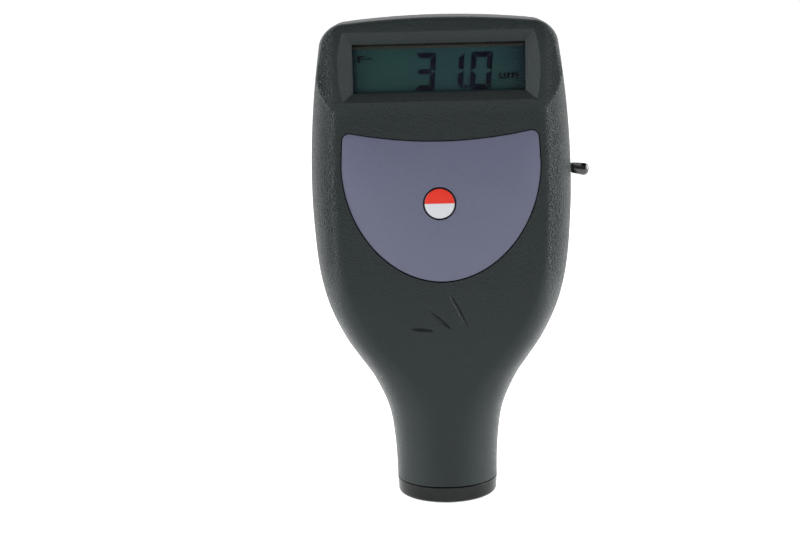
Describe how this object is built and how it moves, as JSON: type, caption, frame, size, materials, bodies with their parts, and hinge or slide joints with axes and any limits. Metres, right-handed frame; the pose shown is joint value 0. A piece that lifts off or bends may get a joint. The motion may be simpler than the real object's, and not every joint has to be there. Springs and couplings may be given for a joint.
{
  "type": "coating thickness gauge",
  "caption": "Hand-held gauge with a round nose that holds a sprung probe, a display in a raised pod, one round key and a rear battery door.",
  "frame": {"origin": "centre of the probe tip's flat end, in the plane that the nose collar stands on", "axes": "+Z along the nose towards the display end, -Y the way the display faces, +X to the right as the display is read"},
  "size_m": [0.0699, 0.0275, 0.1225],
  "materials": {
    "shell": "moulded green-grey plastic, fine spark-eroded grain",
    "label": "slate printed film",
    "window": "clear cover plate",
    "display": "dark teal segment display",
    "holder": "black moulded plastic",
    "strip": "layered contact rubber",
    "board": "green circuit board",
    "key": "red over white moulded key",
    "switch": "black plastic",
    "stem": "ivory plastic",
    "chip": "black package",
    "can": "steel can",
    "screw": "zinc plated",
    "cell": "plain dark jacket",
    "spring": "nickel plated wire",
    "collar": "polished black-green",
    "guide": "turned brass",
    "sleeve": "ground steel",
    "tip": "hard polished",
    "coil": "enamelled copper winding",
    "cap": "ivory plastic",
    "lug": "glossy black plastic"
  },
  "bodies": {
    "housing": {"front_shell": "shell", "rear_shell": "shell", "label_panel": "label", "display_window": "window", "display_glass": "display", "display_holder": "holder", "contact_strip": "strip", "main_board": "board", "processor_chip": "chip", "memory_chip": "chip", "crystal_can": "can", "buzzer": "switch", "switch_body": "switch", "battery_cell_left": "cell", "battery_cell_right": "cell", "battery_spring_left": "spring", "battery_spring_right": "spring", "probe_collar": "collar", "probe_guide": "guide", "probe_spring": "spring", "spring_cap": "cap", "lanyard_lug": "lug", "battery_plate_left_low": "spring", "battery_plate_left_high": "spring", "battery_plate_right_low": "spring", "battery_plate_right_high": "spring", "board_screw_1": "screw", "case_screw_1": "screw", "board_screw_2": "screw", "case_screw_2": "screw", "board_screw_3": "screw", "case_screw_3": "screw", "board_screw_4": "screw", "case_screw_4": "screw"},
    "key": {"key_cap": "key", "switch_stem": "stem"},
    "probe": {"probe_sleeve": "sleeve", "retaining_ring": "spring", "probe_tip": "tip", "probe_coil": "coil"},
    "door": {"battery_door": "shell"}
  },
  "joints": [
    {"name": "power_key_press", "type": "slide", "parent": "housing", "child": "key", "axis": [0, 1, 0], "range_m": [0, 0.0005], "stiffness_N_per_m": 400, "springref_m": -0.0005},
    {"name": "probe_plunge", "type": "slide", "parent": "housing", "child": "probe", "axis": [0, 0, -1], "range_m": [0, 0.0032], "stiffness_N_per_m": 80, "springref_m": 0.006, "deforming": ["probe_spring"]},
    {"name": "battery_door_swing", "type": "hinge", "parent": "housing", "child": "door", "pos_m": [0, 0.0126, 0.1079], "axis": [1, 0, 0], "range_deg": [0, 75]}
  ]
}
